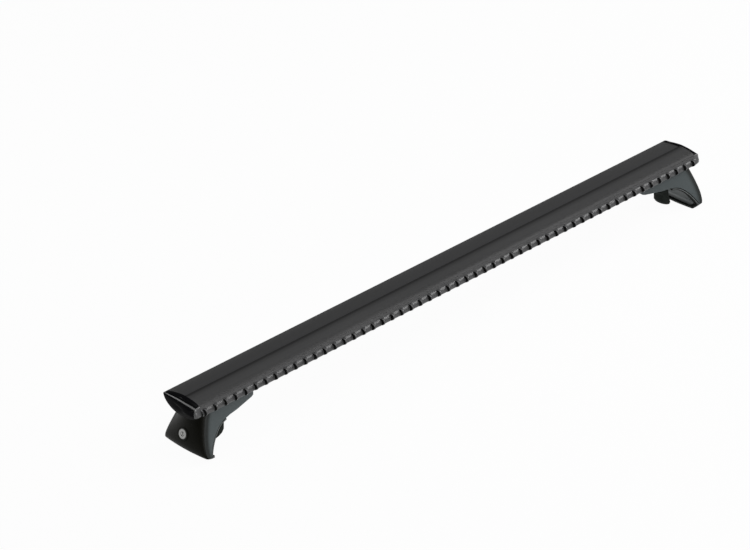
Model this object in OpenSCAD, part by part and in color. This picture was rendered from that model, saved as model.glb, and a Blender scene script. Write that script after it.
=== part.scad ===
// Aerodynamic roof rack crossbar: a hollow wing-section extrusion with a toothed
// wind strip along its nose, standing on two lockable clamping feet.
// X runs along the bar, the toothed nose faces -Y, Z is up. The origin lies on the
// ground under the middle of the bar, and the hooks of both feet stand on Z = 0. Millimetres.

/* [Bar] */
// Length of the aluminium extrusion
bar_len = 1074.5; // [900:0.5:1300]
// Height of the underside of the bar above the lower edge of the feet's outer faces
bar_z = 55; // [54:0.5:70]
// Height of the section, from the underside to the crest
crest_h = 30.3; // [28:0.1:34]
// How far the nose lies in front of the feet's centre line
nose_y = 31.1; // [29.5:0.1:34]
// How far the tail lies behind the feet's centre line
tail_y = 42; // [38:0.5:50]
// Height of the tail above the underside
tail_h = 22.9; // [21.5:0.1:24]
// Distance of the step in the top from the centre line
step_y = 3.2; // [1:0.1:6]
// Drop of the rear deck behind the step
step_drop = 2; // [0.8:0.1:2.5]
// Wall of the extrusion
skin = 2; // [1.5:0.1:2.6]

/* [Slots in the bar] */
// Width of the mouth of the slot that the feet are bolted to
foot_slot_w = 8; // [7:0.1:10]
// Width of the channel behind that mouth
foot_channel_w = 20; // [17:0.5:23]
// Thickness of the lips of both slots
lip_t = 2.4; // [2:0.1:3]
// Height of the foot slot's channel
foot_channel_h = 6.6; // [6:0.1:7.5]
// Width of the mouth of the load slot in the rear deck
load_slot_w = 11; // [9:0.5:13]
// Width of the load slot's channel
load_channel_w = 19; // [16:0.5:21]
// Height of the load slot's channel
load_channel_h = 7; // [5:0.5:8]

/* [Wind strip] */
// Pitch of the teeth
tooth_pitch = 20; // [16:0.5:26]
// Width of a tooth at its root
tooth_root_w = 8.5; // [6:0.1:10]
// Width of a tooth at its tip
tooth_tip_w = 2.3; // [1.5:0.1:4]
// Reach of a tooth in front of the seam above it
tooth_reach = 10.6; // [9:0.1:13]
// Least length of plain strip outside the end teeth
tooth_margin = 2; // [1:0.5:6]

/* [End caps] */
// Length of an end cap outside the extrusion
cap_len = 8.25; // [6:0.25:12]
// Height of the cap's straight outer top edge above the underside of the bar
cap_edge_h = 24; // [23:0.1:26]
// Depth of the plugs that hold a cap in the extrusion
plug_len = 14; // [8:1:24]

/* [Feet] */
// Distance from the end of the extrusion to the foot's lower outer corner
foot_out = 5.75; // [3:0.25:8]
// Length of the foot from its inner tip to that corner
foot_len = 121; // [116:0.5:128]
// Width of the foot under the bar
foot_top_w = 55; // [52:0.5:57]
// Width of the foot at its lower tips
foot_base_w = 97; // [88:0.5:108]
// Width of the foot at its inner tip
foot_tip_w = 40; // [38:0.5:44]
// Bulge of the outer face at mid width
bulge = 7.5; // [5.5:0.1:9]
// How far the foot's top stands back from its lower outer corner
lean = 17.5; // [15:0.1:19]
// Wall of the foot's mouldings
foot_wall = 2.6; // [2:0.1:3]
// How far the hook hangs below the lower edge of the outer face
hook_drop = 7; // [6:0.5:9]
// Depth of the hook's lip along the bar, at mid width
hook_lip = 22.5; // [21.5:0.5:25]
// Thickness of the rubber pad in the arch
pad_t = 4.3; // [3:0.1:4.5]
// Distance between the two screws that fix a foot to the bar
fixing_span = 60; // [54:0.5:62]

/* [Clamp] */
// Height of the clamp screw's axis above the lower edge of the outer face
screw_z = 43; // [42.8:0.1:43.2]
// Sideways place of the clamp, from the foot's centre line towards the nose
clamp_y = -5; // [-6:0.5:0]
// Width of the clamp jaw
jaw_w = 20; // [18:0.5:22]
// Thickness of the rubber liner on the jaw
liner_t = 2.5; // [1.5:0.1:3]
// Travel of the jaw, away from the outer hook
jaw_travel = 22; // [10:1:24]

/* [Lock] */
// Height of the lock's centre above the lower edge of the outer face
lock_z = 26.5; // [25:0.1:28]
// Diameter of the lock's round face
lock_d = 16; // [13:0.5:17]
// Upward tilt of the lock's axis, so that it stands square to the face
lock_tilt = 15; // [12:0.5:17]

/* [Hidden] */
$fn = 48;

black_alu = [0.2, 0.2, 0.2];
black_plastic = [0.1, 0.1, 0.1];
grey_plastic = [0.3, 0.33, 0.33];
black_rubber = [0.15, 0.15, 0.15];
zinc = [0.66, 0.67, 0.7];
silver = [0.82, 0.82, 0.84];

// Gap between a foot and the curved underside of the bar
saddle_gap = 0.3;
// Gap between a foot's shell and its end cover
cover_gap = 0.25;
// Running clearance of a screw or barrel in its hole
run = 0.06;
// Half length of the extrusion, where the end caps start
bar_end = bar_len / 2;
// Place of a foot's lower outer corner along the bar
foot_x = bar_end + foot_out;
// Height of the underside of the bar above the ground
bar_base = bar_z + hook_drop;

// Points of a cubic curve from a to d, in n steps
function curve(a, b, c, d, n) = [
    for (i = [0 : n]) let (t = i / n)
        a * (1 - t) ^ 3 + 3 * b * t * (1 - t) ^ 2 + 3 * c * t ^ 2 * (1 - t) + d * t ^ 3
];
function tail_of(points) = [for (i = [1 : len(points) - 1]) points[i]];
function head_of(points) = [for (i = [0 : len(points) - 2]) points[i]];
function reversed(points) = [for (i = [len(points) - 1 : -1 : 0]) points[i]];
function unit(v) = v / norm(v);
// Left-hand normal of the line through two points
function left_of(a, b) = let (d = unit(b - a)) [-d.y, d.x];
// A closed outline moved inwards by d; its points run anticlockwise
function inset(points, d) = let (n = len(points)) [
    for (i = [0 : n - 1])
        let (m1 = left_of(points[(i + n - 1) % n], points[i]),
             m2 = left_of(points[i], points[(i + 1) % n]),
             m = m1 + m2)
        points[i] + 2 * d * m / (m * m)
];
// An open line moved to its left by d
function beside(points, d) = let (n = len(points)) [
    for (i = [0 : n - 1])
        points[i] + d * left_of(points[max(i - 1, 0)], points[min(i + 1, n - 1)])
];

// Wing section, as Y and Z from the feet's centre line and the underside

belly = [-1, 0];
seam_top = [-nose_y + 2.3, 20];
nose = [-nose_y, 12.3];
crest = [step_y, crest_h];
deck_front = [step_y + 0.4, crest_h - step_drop];
tail_top = [tail_y - 0.4, tail_h];
tail_low = [tail_y - 0.3, tail_h - 2.3];
tail_round = curve(tail_low, [tail_y + 0.3, tail_h - 1.6], [tail_y + 0.3, tail_h - 0.5], tail_top, 3);
deck = curve(tail_top, [30, 26.2], [16, crest_h - step_drop - 0.3], deck_front, 10);
brow = curve(crest, [-20, crest_h - 0.9], seam_top + [0.3, 7], seam_top, 12);
nose_round = curve(seam_top, seam_top + [-0.8, -2.5], nose + [0.1, 2.7], nose, 4);
front_low = curve(belly, belly + [-13, 0], [nose.x - 0.4, 5], nose, 12);
rear_low = curve(belly, [24, 0], [tail_low.x - 2.7, 10], tail_low, 16);
strip_low_step = 9;

// Section from the tail over the top to the nose and back under, anticlockwise
section = concat(
    tail_round, tail_of(deck), brow, tail_of(nose_round),
    tail_of(reversed(front_low)), head_of(tail_of(rear_low))
);

// The same without its thin tail and its nose: the chambers lie one wall inside it
chamber_end = tail_y - 7;
core = concat(
    [for (p = deck) if (p.x < chamber_end) p], brow,
    [for (i = [strip_low_step : -1 : 0]) front_low[i]],
    [for (p = tail_of(rear_low)) if (p.x < chamber_end) p]
);

seat_y = seam_top.x + 2.5;
tongue = [seat_y + 3.8, 14.2];
tongue_r = 2.2;
neck_w = 2;

module section_part(low, high) {
    intersection() {
        polygon(section);
        translate([low, -5]) square([high - low, crest_h + 10]);
    }
}

// Body of the wind strip: the rounded nose, its seat and the tongue behind it
module strip_section() {
    nose_front = [-nose_y - 2.8, 12.6];
    polygon(concat(
        curve(seam_top, seam_top + [-3.4, -0.6], nose_front + [0, 3], nose_front, 8),
        tail_of(curve(nose_front, nose_front + [0, -2.2],
                      front_low[strip_low_step] + [-2.6, 1.6], front_low[strip_low_step], 6)),
        [[seat_y, front_low[strip_low_step].y + 1.2], [seat_y, seam_top.y - 1]]
    ));
    translate([seat_y - 0.5, tongue.y - neck_w / 2]) square([tongue.x - seat_y, neck_w]);
    translate(tongue) circle(r = tongue_r);
}

foot_lip_z = lip_t;
foot_channel_z = foot_lip_z + foot_channel_h;
load_slot_y = deck_front.x + 0.5 + load_slot_w / 2;
load_lip_z = crest_h - step_drop - 0.4 - lip_t;
load_channel_z = load_lip_z - load_channel_h;

module foot_slot() {
    translate([-foot_slot_w / 2, -1]) square([foot_slot_w, foot_lip_z + 2]);
    translate([-foot_channel_w / 2, foot_lip_z]) square([foot_channel_w, foot_channel_h]);
}

module load_slot() {
    translate([load_slot_y - load_slot_w / 2, load_lip_z - 1])
        square([load_slot_w, crest_h]);
    translate([load_slot_y - load_channel_w / 2, load_channel_z])
        square([load_channel_w, load_channel_h]);
}

// Walls that stand inside the section, round the slots and the strip's groove
module inner_walls() {
    translate([-foot_channel_w / 2 - skin, -1])
        square([foot_channel_w + 2 * skin, foot_channel_z + skin + 1]);
    translate([load_slot_y - load_channel_w / 2 - skin, load_channel_z - skin])
        square([load_channel_w + 2 * skin, crest_h]);
    translate([load_slot_y - load_channel_w / 2, foot_channel_z])
        square([skin, load_channel_z - foot_channel_z]);
    translate([-nose_y - 5, -5]) square([seat_y + skin + nose_y + 5, crest_h + 10]);
    translate(tongue) circle(r = tongue_r + skin);
}

module bar_section() {
    difference() {
        polygon(section);
        difference() {
            polygon(inset(core, skin));
            inner_walls();
        }
        foot_slot();
        load_slot();
        strip_section();
    }
}

// Turns a Y-Z section into a bar that is centred on X = 0
module along_x(length) {
    translate([-length / 2, 0, 0])
        rotate([90, 0, 90])
            linear_extrude(height = length) children();
}

module wing_bar() {
    color(black_alu)
        translate([0, 0, bar_base]) along_x(bar_len) bar_section();
}

// Wind strip with its row of teeth

tooth_count = floor((bar_len - 2 * tooth_margin - tooth_root_w) / tooth_pitch) + 1;
tooth_top = [
    seam_top + [0.8, -0.6], seam_top + [-3.1, 0.9], seam_top + [-5.2, 1.6],
    seam_top + [-0.78 * tooth_reach, 0.8], seam_top + [-0.9 * tooth_reach, -0.9],
    seam_top + [-tooth_reach, -2.7]
];
tooth_under = [
    seam_top + [0.2 - tooth_reach, -4.4], seam_top + [2.2 - tooth_reach, -7.2],
    seam_top + [-4.6, -9.6], seam_top + [-1.2, -9.6]
];

// A tooth's straight side faces -X and its other side slants back to the root
module tooth() {
    intersection() {
        along_x(2 * tooth_root_w) polygon(concat(tooth_top, tooth_under));
        translate([-tooth_root_w / 2, seam_top.x, 0])
            linear_extrude(height = crest_h)
                polygon([
                    [0, 1], [0, -tooth_reach], [tooth_tip_w, -tooth_reach],
                    [0.46 * tooth_root_w, -0.63 * tooth_reach], [tooth_root_w, 0],
                    [tooth_root_w, 1]
                ]);
    }
}

module wind_strip() {
    color(black_rubber)
        translate([0, 0, bar_base]) {
            along_x(bar_len) strip_section();
            for (i = [0 : tooth_count - 1])
                translate([(i - (tooth_count - 1) / 2) * tooth_pitch, 0, 0]) tooth();
        }
}

barb_h = 1.6;
barb_over = 1.3;

// Rubber strip that closes the load slot flush with the rear deck
module slot_cover() {
    low = load_slot_y - load_slot_w / 2;
    color(black_rubber)
        translate([0, 0, bar_base])
            along_x(bar_len) {
                difference() {
                    section_part(low, low + load_slot_w);
                    translate([low - 1, -1]) square([load_slot_w + 2, load_lip_z - barb_h + 1]);
                }
                translate([low - barb_over, load_lip_z - barb_h])
                    square([load_slot_w + 2 * barb_over, barb_h]);
            }
}

// A closed solid through rings of equally many points; the first ring is the lowest
module loft(rings) {
    n = len(rings[0]);
    last = len(rings) - 1;
    polyhedron(
        points = [for (ring = rings) each ring],
        faces = concat(
            [[for (i = [0 : n - 1]) i]],
            [for (k = [0 : last - 1], i = [0 : n - 1], side = [0, 1])
                let (j = (i + 1) % n, a = k * n, b = a + n)
                side == 0 ? [b + i, a + j, a + i] : [b + i, b + j, a + j]],
            [[for (i = [n - 1 : -1 : 0]) last * n + i]]
        ),
        convexity = 6
    );
}

// Section of an end cap at share s of its length: the crest sinks to a straight edge
function cap_ring(s, edge) = [
    for (p = inset([for (q = section) [q.x, q.y + s ^ 3 * (min(q.y, cap_edge_h) - q.y)]], edge))
        [s * cap_len, p.x, p.y]
];

cap_edge_r = 1;

module end_cap() {
    color(black_plastic)
        translate([bar_end, 0, bar_base]) {
            loft([
                for (step = [[0, 0], [0.4, 0], [0.7, 0], [1 - cap_edge_r / cap_len, 0],
                             [1 - 0.3 * cap_edge_r / cap_len, 0.3 * cap_edge_r],
                             [1, cap_edge_r]])
                    cap_ring(step[0], step[1])
            ]);
            translate([-plug_len, load_slot_y + load_channel_w / 2 + skin + 0.3, 12])
                cube([plug_len + 1, 6, 8]);
            translate([-plug_len, tongue.x + tongue_r + skin + 1, foot_channel_z + skin + 1])
                cube([plug_len + 1, 8, 9]);
        }
}

// Foot, drawn for the right-hand end with x = 0 at its lower outer corner and z = 0 at
// the lower edge of its outer face; the hook hangs below that

foot_loft_z = bar_z + 8;
levels = [-hook_drop, 1 - hook_drop, -hook_drop / 2, 0, 2.5, 7, 13, 20, 27, 34, 41, 48, 55,
          foot_loft_z + 3];
lean_z = 10;
tuck_z = 4;
round_z = 18;
toe_back = 12;
toe_in = 6.5;
corner_r_low = 8;
corner_r_top = 11;
tip_r = 6;

// 0 at the lower edge of the outer face and above, 1 at the ground
function below(z) = max(0, -z) / hook_drop;
function flare(z) = (foot_base_w - foot_top_w) / 2 * max(0, 1 - max(0, z) / foot_loft_z) ^ 1.15;
function half_w(z) = foot_top_w / 2 + flare(z) - toe_in * below(z) ^ 1.3;
function corner_x(z) =
    -lean * max(0, (z - lean_z) / (foot_loft_z - lean_z)) ^ 1.5
    - max(0, tuck_z - max(0, z)) * 0.5 - toe_back * below(z);
// The outer face bulges most above its rounded lower part
function bulge_at(z) =
    bulge * (1 - 0.5 * (1 - min(1, max(0, z) / round_z)) ^ 2) * (1 - 0.6 * below(z));
function side_y(x, x0, y0, x1, y1) = y0 + (y1 - y0) * (x - x0) / (x1 - x0);
function arc3(a, b, c, n) =
    [for (i = [0 : n]) let (t = i / n) a * (1 - t) ^ 2 + 2 * b * t * (1 - t) + c * t ^ 2];

// Half width of the foot's side at a point of its side view
function foot_w(p) = side_y(p.x, -foot_len, foot_tip_w / 2, corner_x(p.y), half_w(p.y));
// Half of the foot's plan at height z, d inside its outer surface
function half_plan(z, d) =
    let (xo = corner_x(z) - d, w = half_w(z) - d, xi = d - foot_len, wi = foot_tip_w / 2 - d,
         rc = corner_r_low + (corner_r_top - corner_r_low) * max(0, min(1, z / foot_loft_z)),
         face_w = w - rc,
         face = [for (i = [0 : 4]) let (y = face_w * i / 4) [xo + bulge_at(z) * (1 - (y / w) ^ 2), y]])
    concat(
        face,
        tail_of(arc3(face[4], [xo + 0.8, w], [xo - rc, side_y(xo - rc, xi, wi, xo, w)], 4)),
        arc3([xi + tip_r, side_y(xi + tip_r, xi, wi, xo, w)], [xi, wi], [xi, wi - tip_r], 3)
    );
function plan_ring(z, d) =
    let (half = half_plan(z, d))
    [for (p = concat(half, [for (q = reversed(tail_of(half))) [q.x, -q.y]])) [p.x, p.y, z]];

function edge_round(z) = z == -hook_drop ? 1 : 0;

module foot_form() loft([for (z = levels) plan_ring(z, edge_round(z))]);

module foot_inside(floor_z) {
    loft([for (z = concat([floor_z], [for (l = levels) if (l > floor_z + 1) l]))
        plan_ring(z, foot_wall)]);
}

// Turns an X-Z outline into a solid across the foot
module across(width) {
    rotate([90, 0, 0])
        linear_extrude(height = width, center = true) children();
}

roof_z = bar_z - 3;
foot_span = foot_base_w + 20;
arch_top = [-56.5, bar_z - 15.2];
arch_end = [-11, 3.5];
arch = curve(arch_top, arch_top + [16.5, -0.6], [-23, 24], arch_end, 12);
lip_z = foot_wall - hook_drop;
lip_pad_t = 2.8;
lip_start = -17;
lip_round = 4.2;
hook_floor = curve(arch_end, arch_end + [1.9, -3.2], [-10.5, lip_z], [lip_start, lip_z], 6);
// Lower edge of the foot from its inner tip to the arch
tip_edge = [
    [-foot_len - 1, bar_z - 3.5], [-foot_len, bar_z - 3.5], [2.5 - foot_len, bar_z - 6.4],
    [9 - foot_len, bar_z - 8.2], [21 - foot_len, bar_z - 10], [arch_top.x - 25, bar_z - 13],
    [arch_top.x - 8, bar_z - 14]
];

// Side view of the foot, with the arch and the outer hook under it
module foot_side() {
    polygon(concat(
        tip_edge, arch, tail_of(hook_floor),
        [[-hook_lip, lip_z], [-hook_lip, -hook_drop - 1], [bulge + 5, -hook_drop - 1],
         [bulge + 5, foot_loft_z], [-foot_len - 1, foot_loft_z]]
    ));
}

// Edge of the hook's lip in plan: its corners stand back
function lip_x(y) = -hook_lip + lip_round * (2 * y / foot_base_w) ^ 2;

module lip_cut() {
    translate([0, 0, -hook_drop - 1])
        linear_extrude(height = hook_drop + 1)
            polygon(concat(
                [for (i = [-8 : 8]) let (y = i * foot_base_w / 16) [lip_x(y), y]],
                [[-hook_lip - 20, foot_base_w / 2], [-hook_lip - 20, -foot_base_w / 2]]
            ));
}

parting = 2;
// Region outside the parting line between shell and cover, moved outwards by shift
module cover_side(shift) {
    polygon(concat(
        [for (z = levels) if (z >= 0) [corner_x(z) - parting + shift, max(z, shift)]],
        [[60, foot_loft_z + 3], [60, shift]]
    ));
}

end_wall_x = -10.6;
end_wall_top = [end_wall_x - 8, roof_z];
end_wall_bend = bar_z - 25;
floor_t = 3.2;
floor_start = arch_top.x + 3;
floor_line = [for (p = beside(arch, floor_t)) if (p.x > floor_start && p.x < end_wall_x) p];

// Hollow above the arch, from the inner tip to the end wall
module foot_hollow() {
    polygon(concat(
        [[foot_wall - foot_len, 10], [floor_start, 10], [floor_start, floor_line[0].y]],
        floor_line,
        [[end_wall_x, floor_line[len(floor_line) - 1].y], [end_wall_x, end_wall_bend],
         end_wall_top, [foot_wall - foot_len, roof_z]]
    ));
}

// Hollow between the end wall and the cover
module cover_hollow() {
    wall = [foot_wall, 0];
    polygon([
        [-6, foot_wall], [-6, 15], [end_wall_x, 15] + wall, [end_wall_x, end_wall_bend] + wall,
        end_wall_top + wall, [40, roof_z], [40, foot_wall]
    ]);
}

module bar_clearance() {
    translate([0, 0, bar_z])
        along_x(6 * foot_len) polygon(inset(section, -saddle_gap));
}

// Fixing screws, bracket and clamp screw inside the foot

m6 = 6;
carrier_t = 3;
carrier_w = 26;
carrier_top = roof_z;
carrier_low = carrier_top - carrier_t;
carrier_leg_x = -28;
outer_fixing_x = -38;
inner_fixing_x = outer_fixing_x - fixing_span;
fixing_head_h = 2.6;
fixing_head_d = 10.5;
plate_t = 4.8;
plate_clear = 0.3;
plate_z = bar_z + foot_lip_z;
washer_t = 1.6;
screw_head_x = carrier_leg_x + washer_t;
screw_head_h = 6;
screw_head_d = 10;
nut_t = 5;
nut_w = 10;
nut_x = -67.5;
nut_gap = 0.1;
screw_len = screw_head_x - nut_x + jaw_travel + 3;
guide_t = 2;

lock_out = corner_x(lock_z) + bulge;
lock_deep = (lock_out - end_wall_x + 1) / cos(lock_tilt);
barrel_d = 11.6;
ring_w = 2.2;
ring_deep = 7;
face_deep = 4;
cam_t = 2.4;
cam_len = 12;
cam_w = 5;
cam_x = lock_out - (lock_deep + cam_t / 2) * cos(lock_tilt);
cam_z = lock_z - (lock_deep + cam_t / 2) * sin(lock_tilt);
peg_y = 20;
peg_z = 30;
peg_d = 5;

// Places children with +Z out of the lock's face
module at_lock() {
    translate([lock_out, 0, lock_z]) rotate([0, 90 - lock_tilt, 0]) children();
}

// Hole along X at height z and distance y from the centre line
module hole_x(d, y, z, x0, x1) {
    translate([x0, y, z]) rotate([0, 90, 0]) cylinder(d = d, h = x1 - x0);
}

module hole_z(d, x, z0, z1) {
    translate([x, 0, z0]) cylinder(d = d, h = z1 - z0);
}

module end_wall_holes() {
    hole_x(screw_head_d + 1.2, clamp_y, screw_z, carrier_leg_x + 1, 0);
    hole_x(barrel_d + 4, 0, cam_z + 0.6, end_wall_x - 3, end_wall_x + foot_wall + 3);
    translate([end_wall_x - 3, 0, cam_z - cam_w / 2 - 1.5])
        cube([foot_wall + 6, cam_len + 1.5, cam_w + 3.5]);
    for (side = [-1, 1])
        hole_x(peg_d + 2 * run, side * peg_y, peg_z, end_wall_x - 3, end_wall_x + foot_wall + 3);
}

// Groove in the floor over the arch, where the clamp screw passes
module screw_groove() {
    groove_w = m6 + 1.6;
    groove_open = arch_top.x + 10;
    translate([arch_top.x - 3, clamp_y - groove_w / 2, arch_top.y - 6])
        cube([groove_open - arch_top.x + 3, groove_w, 14]);
    translate([groove_open - 1, clamp_y - groove_w / 2, screw_z - m6 / 2 - 0.4])
        cube([12, groove_w, m6]);
}

module foot_shell() {
    color(grey_plastic)
        difference() {
            intersection() {
                foot_form();
                across(foot_span) foot_side();
            }
            across(3 * foot_span) cover_side(-cover_gap / 2);
            difference() {
                intersection() {
                    foot_inside(0);
                    across(foot_span) foot_hollow();
                }
                for (side = [-1, 1])
                    translate([foot_wall - foot_len, side * (carrier_w / 2 + 0.4 + guide_t / 2), 0])
                        translate([0, -guide_t / 2, bar_z - 13])
                            cube([foot_len + arch_top.x, guide_t, 12]);
            }
            intersection() {
                foot_inside(foot_wall);
                across(foot_span) cover_hollow();
            }
            bar_clearance();
            for (x = [inner_fixing_x, outer_fixing_x])
                hole_z(m6 + 0.6, x, roof_z - 1, bar_z + 5);
            end_wall_holes();
            lip_cut();
            screw_groove();
        }
}

// Rubber pad that lines the arch and the lip of the hook, as wide as the foot there
module arch_pad() {
    arch_face = beside(arch, -pad_t);
    heel = arch_face[len(arch_face) - 1];
    lip_top = lip_z + lip_pad_t;
    tip = -hook_lip;
    line = concat(arch, tail_of(hook_floor), [[tip, lip_z]]);
    face = concat(
        arch_face,
        tail_of(curve(heel, heel + [0.6, -1.3], [lip_start + 2, lip_top + 0.1], [lip_start - 0.5, lip_top], 6)),
        [[tip, lip_top]]
    );
    side_in = 0.6;
    color(black_rubber)
        difference() {
            loft([
                for (i = [0 : len(line) - 1])
                    let (a = line[i], b = face[i], wa = foot_w(a) - side_in, wb = foot_w(b) - side_in)
                    [[b.x, -wb, b.y], [b.x, wb, b.y], [a.x, wa, a.y], [a.x, -wa, a.y]]
            ]);
            translate([0.8, 0, 0]) lip_cut();
        }
}

module carrier() {
    color(zinc)
        difference() {
            union() {
                translate([inner_fixing_x - 12, -carrier_w / 2, carrier_low])
                    cube([carrier_leg_x - inner_fixing_x + 12, carrier_w, carrier_t]);
                translate([carrier_leg_x - carrier_t, -carrier_w / 2 + 2, screw_z - 7])
                    cube([carrier_t, carrier_w - 4, carrier_top - screw_z + 7]);
            }
            for (x = [inner_fixing_x, outer_fixing_x])
                hole_z(m6 + 0.4, x, carrier_low - 1, carrier_top + 1);
            hole_x(m6 + 2 * run, clamp_y, screw_z, carrier_leg_x - carrier_t - 1, carrier_leg_x + 1);
        }
}

// Plate in the bar's lower channel that both fixing screws are threaded into
module slot_plate() {
    color(zinc)
        difference() {
            translate([inner_fixing_x - 10, plate_clear - foot_channel_w / 2, plate_z])
                cube([fixing_span + 20, foot_channel_w - 2 * plate_clear, plate_t]);
            for (x = [inner_fixing_x, outer_fixing_x])
                hole_z(m6 + 2 * run, x, plate_z - 1, plate_z + plate_t + 1);
        }
}

module fixing_screw(x) {
    socket = 4;
    color(zinc)
        translate([x, 0, carrier_low - fixing_head_h])
            difference() {
                union() {
                    cylinder(d1 = fixing_head_d - 2, d2 = fixing_head_d, h = fixing_head_h / 2);
                    translate([0, 0, fixing_head_h / 2])
                        cylinder(d = fixing_head_d, h = fixing_head_h / 2);
                    cylinder(d = m6, h = plate_z + plate_t + 0.8 - carrier_low + fixing_head_h);
                }
                translate([0, 0, -1]) cylinder(d = socket / cos(30), h = 3, $fn = 6);
            }
}

module end_cover() {
    color(black_plastic)
        difference() {
            union() {
                difference() {
                    intersection() {
                        foot_form();
                        across(foot_span) cover_side(cover_gap / 2);
                    }
                    intersection() {
                        foot_inside(foot_wall);
                        across(foot_span)
                            translate([-40, 0]) square([60, roof_z]);
                    }
                }
                for (side = [-1, 1])
                    hole_x(peg_d, side * peg_y, peg_z, end_wall_x - 2,
                           corner_x(peg_z) + bulge * (1 - (peg_y / half_w(peg_z)) ^ 2) - 1);
            }
            bar_clearance();
            at_lock() translate([0, 0, -15])
                cylinder(d = lock_d + 2 * ring_w + 2 * run, h = 30);
        }
}

module lock_ring() {
    color(black_plastic)
        at_lock() difference() {
            translate([0, 0, -ring_deep]) cylinder(d = lock_d + 2 * ring_w, h = ring_deep + 0.4);
            translate([0, 0, -face_deep]) cylinder(d = lock_d + 2 * run, h = face_deep + 1);
            translate([0, 0, -ring_deep - 1]) cylinder(d = barrel_d + 2 * run, h = ring_deep + 1);
        }
}

module lock_barrel() {
    key_w = 1.4;
    key_l = 7;
    color(silver)
        at_lock() difference() {
            union() {
                translate([0, 0, -face_deep]) cylinder(d = lock_d, h = face_deep + 0.2);
                translate([0, 0, -lock_deep]) cylinder(d = barrel_d, h = lock_deep);
            }
            translate([-key_l / 2, -key_w / 2, -9]) cube([key_l, key_w, 12]);
        }
}

// Bar behind the barrel: it points sideways when unlocked and upwards when locked
module lock_cam() {
    color(zinc)
        at_lock() translate([0, 0, -lock_deep - cam_t]) {
            cylinder(d = barrel_d - 2, h = cam_t);
            translate([-cam_w / 2, 0, 0]) cube([cam_w, cam_len - cam_w / 2, cam_t]);
            translate([0, cam_len - cam_w / 2, 0]) cylinder(d = cam_w, h = cam_t);
        }
}

module clamp_screw() {
    socket = 5;
    color(zinc)
        difference() {
            union() {
                hole_x(m6, clamp_y, screw_z, screw_head_x - screw_len, screw_head_x + 1);
                hole_x(screw_head_d, clamp_y, screw_z, screw_head_x, screw_head_x + screw_head_h);
            }
            translate([screw_head_x + 2.5, clamp_y, screw_z])
                rotate([0, 90, 0]) cylinder(d = socket / cos(30), h = 5, $fn = 6);
        }
}

module screw_washer() {
    color(zinc)
        difference() {
            hole_x(12, clamp_y, screw_z, carrier_leg_x, screw_head_x);
            hole_x(m6 + 2 * run, clamp_y, screw_z, carrier_leg_x - 1, screw_head_x + 1);
        }
}

// Clamp jaw: a neck round the nut, and a finger that hangs beside the rail

neck_top = bar_z - 8.8;
neck_low = bar_z - 22.5;
neck_side = 2;
neck_x = [-78, -60.5];
liner_levels = [4, 7, 12, 18, 24, 29, neck_low];
jaw_levels = concat([2.5], liner_levels);

// Face of the jaw's liner, and the jaw's rounded inner side, at height z
function grip_x(z) = -51 + 8.5 * max(0, 1 - z / 36) ^ 1.5;
function back_x(z) =
    lookup(z, [[2.5, -50], [4, -56], [7, -62], [12, -65.5], [24, -66], [29, -70], [32.5, -76]]);

function jaw_ring(z) =
    let (x = grip_x(z) - liner_t - max(0, 4 - z), w = jaw_w / 2, side = back_x(z) + 3)
    concat(
        [[x, -w, z], [x, w, z]],
        [for (a = [90 : -18 : -90]) [side - 3 * cos(a), w * sin(a), z]]
    );

module clamp_jaw() {
    nut_pocket = nut_t + 2 * nut_gap;
    color(black_plastic)
        translate([0, clamp_y, 0]) difference() {
            union() {
                loft([for (z = jaw_levels) jaw_ring(z)]);
                translate([neck_x[0], neck_side - jaw_w / 2, neck_low - 1])
                    cube([neck_x[1] - neck_x[0], jaw_w - 2 * neck_side, neck_top - neck_low + 1]);
            }
            translate([nut_x - nut_pocket / 2, -nut_w / 2 - nut_gap, screw_z - nut_w / 2])
                cube([nut_pocket, nut_w + 2 * nut_gap, 20]);
            hole_x(m6 + 0.8, 0, screw_z, neck_x[0] - 1, neck_x[1] + 1);
        }
}

module jaw_liner() {
    face = [for (z = liner_levels) [grip_x(z), z]];
    back = [for (z = liner_levels) [grip_x(z) - liner_t, z]];
    color(black_rubber)
        translate([0, clamp_y, 0])
            across(jaw_w - 2) polygon(concat(face, reversed(back)));
}

module clamp_nut() {
    color(zinc)
        translate([0, clamp_y, 0]) difference() {
            translate([nut_x - nut_t / 2, -nut_w / 2, screw_z - nut_w / 2])
                cube([nut_t, nut_w, nut_w]);
            hole_x(m6 + 2 * run, 0, screw_z, nut_x - nut_t, nut_x + nut_t);
        }
}

module right() translate([foot_x, 0, hook_drop]) children();
module left() mirror([1, 0, 0]) right() children();

wing_bar();
wind_strip();
slot_cover();
mirror([1, 0, 0]) end_cap();  // end_cap_left
end_cap();  // end_cap_right
left() foot_shell();  // foot_shell_left
right() foot_shell();  // foot_shell_right
left() arch_pad();  // arch_pad_left
right() arch_pad();  // arch_pad_right
left() carrier();  // carrier_left
right() carrier();  // carrier_right
left() slot_plate();  // slot_plate_left
right() slot_plate();  // slot_plate_right
left() fixing_screw(inner_fixing_x);  // inner_fixing_left
right() fixing_screw(inner_fixing_x);  // inner_fixing_right
left() fixing_screw(outer_fixing_x);  // outer_fixing_left
right() fixing_screw(outer_fixing_x);  // outer_fixing_right
left() end_cover();  // end_cover_left
right() end_cover();  // end_cover_right
left() lock_ring();  // lock_ring_left
right() lock_ring();  // lock_ring_right
left() lock_barrel();  // lock_barrel_left
right() lock_barrel();  // lock_barrel_right
left() lock_cam();  // lock_cam_left
right() lock_cam();  // lock_cam_right
left() clamp_screw();  // clamp_screw_left
right() clamp_screw();  // clamp_screw_right
left() screw_washer();  // screw_washer_left
right() screw_washer();  // screw_washer_right
left() clamp_jaw();  // clamp_jaw_left
right() clamp_jaw();  // clamp_jaw_right
left() jaw_liner();  // jaw_liner_left
right() jaw_liner();  // jaw_liner_right
left() clamp_nut();  // clamp_nut_left
right() clamp_nut();  // clamp_nut_right
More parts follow.
